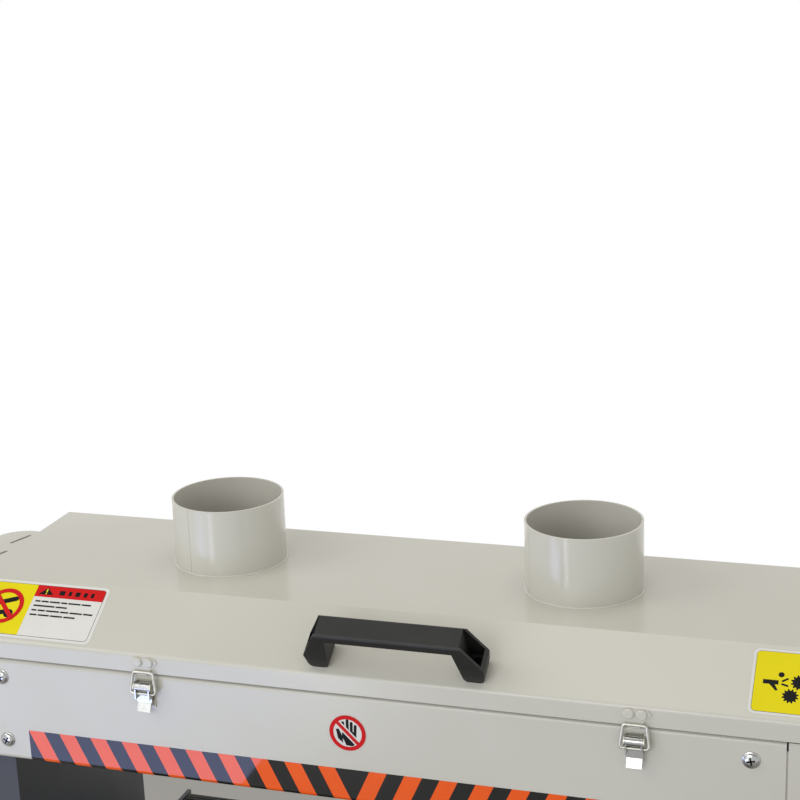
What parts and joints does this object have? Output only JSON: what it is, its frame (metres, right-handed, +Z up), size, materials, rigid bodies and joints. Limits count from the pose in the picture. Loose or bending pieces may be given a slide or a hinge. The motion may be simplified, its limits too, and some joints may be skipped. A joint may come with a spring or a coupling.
{
  "type": "drum sander",
  "caption": "Drum sander with a hinged sheet-steel hood, extraction ports, draw latches, rising conveyor table on lift screws, belt guard and a closed stand.",
  "frame": {"origin": "on the floor, at the middle of the machine's footprint box", "axes": "+X to the operator's right, +Y to the back of the machine, +Z up"},
  "size_m": [0.868, 0.46, 1.1206],
  "materials": {
    "pale_enamel": "glossy sprayed enamel, greyish cream",
    "dark_enamel": "dark grey sprayed enamel",
    "zinc": "bright zinc plating",
    "ground_steel": "turned and ground",
    "black_oxide": "blackened steel",
    "cast_iron": "as cast, machined faces",
    "black_plastic": "moulded, fine grain",
    "belt_rubber": "ribbed rubber",
    "abrasive": "coated abrasive cloth",
    "aluminium": "die cast",
    "motor_enamel": "blue-grey enamel",
    "red_plastic": "moulded",
    "green_plastic": "moulded",
    "chrome": "polished plating"
  },
  "bodies": {
    "root": {"belt_guard": "pale_enamel", "column_fronts": "dark_enamel", "control_box": "pale_enamel", "door_hinges": "zinc", "drum_bearings": "cast_iron", "drum_motor": "motor_enamel", "frame_hinge_leaf": "zinc", "front_panel": "pale_enamel", "guard_back": "pale_enamel", "latch_bases": "zinc", "left_column": "dark_enamel", "left_end_frame": "pale_enamel", "levelling_feet": "zinc", "lift_bearings": "cast_iron", "lift_chain": "black_oxide", "motor_mount": "dark_enamel", "panel_screws": "zinc", "press_guides": "zinc", "rear_panel": "pale_enamel", "right_column": "dark_enamel", "right_end_frame": "pale_enamel", "stand_shell": "dark_enamel", "v_belts": "belt_rubber"},
    "hood": {"hood": "pale_enamel", "dust_ports": "pale_enamel", "handle": "black_plastic", "handle_screws": "black_oxide", "hood_hinge_leaf": "zinc", "latch_keepers": "pale_enamel"},
    "latch_lever_left": {"latch_lever_left": "zinc"},
    "latch_bail_left": {"latch_bail_left": "zinc"},
    "latch_lever_right": {"latch_lever_right": "zinc"},
    "latch_bail_right": {"latch_bail_right": "zinc"},
    "drum": {"drum_core": "aluminium", "abrasive_wrap": "abrasive", "drum_shaft": "ground_steel", "drum_pulley": "cast_iron"},
    "motor_rotor": {"motor_pulley": "cast_iron"},
    "press_yoke_front": {"press_yoke_front": "zinc"},
    "press_roller_front": {"press_roller_front": "ground_steel"},
    "press_yoke_back": {"press_yoke_back": "zinc"},
    "press_roller_back": {"press_roller_back": "ground_steel"},
    "table": {"table_frame": "dark_enamel", "conveyor_belt": "belt_rubber", "lift_screws": "ground_steel", "conveyor_motor": "aluminium"},
    "drive_roller": {"drive_roller": "belt_rubber"},
    "idler_roller": {"idler_roller": "ground_steel"},
    "handwheel": {"handwheel": "chrome"},
    "crank_knob": {"crank_knob": "black_plastic"},
    "lift_drive": {"lift_drive": "black_oxide"},
    "lift_nut_front_left": {"lift_nut_front_left": "cast_iron"},
    "lift_nut_front_right": {"lift_nut_front_right": "cast_iron"},
    "lift_nut_back_left": {"lift_nut_back_left": "cast_iron"},
    "lift_nut_back_right": {"lift_nut_back_right": "cast_iron"},
    "door": {"stand_door": "dark_enamel"},
    "door_lock": {"door_lock": "black_plastic"},
    "stop_button": {"stop_button": "red_plastic"},
    "start_button": {"start_button": "green_plastic"},
    "speed_knob": {"speed_knob": "black_plastic"}
  },
  "joints": [
    {"name": "hood_swing", "type": "hinge", "parent": "root", "child": "hood", "pos_m": [0, 0.1602, 1.0063], "axis": [-1, 0, 0], "range_deg": [0, 85]},
    {"name": "drum_spin", "type": "hinge", "parent": "root", "child": "drum", "pos_m": [0, 0.0405, 0.962], "axis": [1, 0, 0], "continuous": true},
    {"name": "motor_spin", "type": "hinge", "parent": "root", "child": "motor_rotor", "pos_m": [-0.38, 0.0405, 0.3], "axis": [1, 0, 0], "continuous": true},
    {"name": "press_lift_front", "type": "slide", "parent": "root", "child": "press_yoke_front", "axis": [0, 0, 1], "range_m": [0, 0.004]},
    {"name": "press_spin_front", "type": "hinge", "parent": "press_yoke_front", "child": "press_roller_front", "pos_m": [0, -0.038, 0.916], "axis": [1, 0, 0], "continuous": true},
    {"name": "press_lift_back", "type": "slide", "parent": "root", "child": "press_yoke_back", "axis": [0, 0, 1], "range_m": [0, 0.004]},
    {"name": "press_spin_back", "type": "hinge", "parent": "press_yoke_back", "child": "press_roller_back", "pos_m": [0, 0.119, 0.916], "axis": [1, 0, 0], "continuous": true},
    {"name": "handwheel_turn", "type": "hinge", "parent": "root", "child": "handwheel", "pos_m": [0, -0.19, 0.5], "axis": [0, -1, 0], "range_deg": [0, 11880]},
    {"name": "table_lift", "type": "slide", "parent": "root", "child": "table", "axis": [0, 0, 1], "range_m": [0, 0.165]},
    {"name": "crank_spin", "type": "hinge", "parent": "handwheel", "child": "crank_knob", "pos_m": [0.02163, -0.21, 0.56657], "axis": [0, -1, 0], "continuous": true},
    {"name": "lift_drive_turn", "type": "hinge", "parent": "root", "child": "lift_drive", "pos_m": [0, -0.118, 0.55], "axis": [0, 0, 1], "range_deg": [-11880, 0]},
    {"name": "drive_roller_spin", "type": "hinge", "parent": "table", "child": "drive_roller", "pos_m": [0, -0.2022, 0.6982], "axis": [1, 0, 0], "continuous": true},
    {"name": "idler_roller_spin", "type": "hinge", "parent": "table", "child": "idler_roller", "pos_m": [0, 0.2022, 0.6982], "axis": [1, 0, 0], "continuous": true},
    {"name": "door_swing", "type": "hinge", "parent": "root", "child": "door", "pos_m": [-0.336, -0.1545, 0.255], "axis": [0, 0, -1], "range_deg": [0, 110]},
    {"name": "door_lock_turn", "type": "hinge", "parent": "door", "child": "door_lock", "pos_m": [0.076, -0.16, 0.255], "axis": [0, -1, 0], "range_deg": [0, 90]},
    {"name": "stop_press", "type": "slide", "parent": "root", "child": "stop_button", "axis": [0, 1, 0], "range_m": [0, 0.005]},
    {"name": "start_press", "type": "slide", "parent": "root", "child": "start_button", "axis": [0, 1, 0], "range_m": [0, 0.003], "stiffness_N_per_m": 400},
    {"name": "speed_turn", "type": "hinge", "parent": "root", "child": "speed_knob", "pos_m": [0.405, -0.075, 0.835], "axis": [0, -1, 0], "range_deg": [0, 270]},
    {"name": "lift_nut_front_left_turn", "type": "hinge", "parent": "root", "child": "lift_nut_front_left", "pos_m": [-0.27, -0.105, 0.58], "axis": [0, 0, 1], "range_deg": [-11880, 0]},
    {"name": "lift_nut_front_right_turn", "type": "hinge", "parent": "root", "child": "lift_nut_front_right", "pos_m": [0.27, -0.105, 0.58], "axis": [0, 0, 1], "range_deg": [-11880, 0]},
    {"name": "lift_nut_back_left_turn", "type": "hinge", "parent": "root", "child": "lift_nut_back_left", "pos_m": [-0.27, 0.105, 0.58], "axis": [0, 0, 1], "range_deg": [-11880, 0]},
    {"name": "lift_nut_back_right_turn", "type": "hinge", "parent": "root", "child": "lift_nut_back_right", "pos_m": [0.27, 0.105, 0.58], "axis": [0, 0, 1], "range_deg": [-11880, 0]},
    {"name": "latch_open_left", "type": "hinge", "parent": "root", "child": "latch_lever_left", "pos_m": [-0.184, -0.0799, 0.9956], "axis": [-1, 0, 0], "range_deg": [0, 120]},
    {"name": "bail_swing_left", "type": "hinge", "parent": "latch_lever_left", "child": "latch_bail_left", "pos_m": [-0.184, -0.0812, 0.99], "axis": [-1, 0, 0], "range_deg": [-140, 0]},
    {"name": "latch_open_right", "type": "hinge", "parent": "root", "child": "latch_lever_right", "pos_m": [0.2368, -0.0799, 0.9956], "axis": [-1, 0, 0], "range_deg": [0, 120]},
    {"name": "bail_swing_right", "type": "hinge", "parent": "latch_lever_right", "child": "latch_bail_right", "pos_m": [0.2368, -0.0812, 0.99], "axis": [-1, 0, 0], "range_deg": [-140, 0]}
  ],
  "couplings": [
    {"joint": "motor_spin", "follows": "drum_spin", "ratio": 0.73913},
    {"joint": "table_lift", "follows": "handwheel_turn", "m_per_rad": 0.00079577},
    {"joint": "lift_drive_turn", "follows": "handwheel_turn", "ratio": -1},
    {"joint": "idler_roller_spin", "follows": "drive_roller_spin", "ratio": 1},
    {"joint": "lift_nut_front_left_turn", "follows": "handwheel_turn", "ratio": -1},
    {"joint": "lift_nut_front_right_turn", "follows": "handwheel_turn", "ratio": -1},
    {"joint": "lift_nut_back_left_turn", "follows": "handwheel_turn", "ratio": -1},
    {"joint": "lift_nut_back_right_turn", "follows": "handwheel_turn", "ratio": -1},
    {"joint": "bail_swing_left", "follows": "latch_open_left", "ratio": -1.15},
    {"joint": "bail_swing_right", "follows": "latch_open_right", "ratio": -1.15}
  ]
}
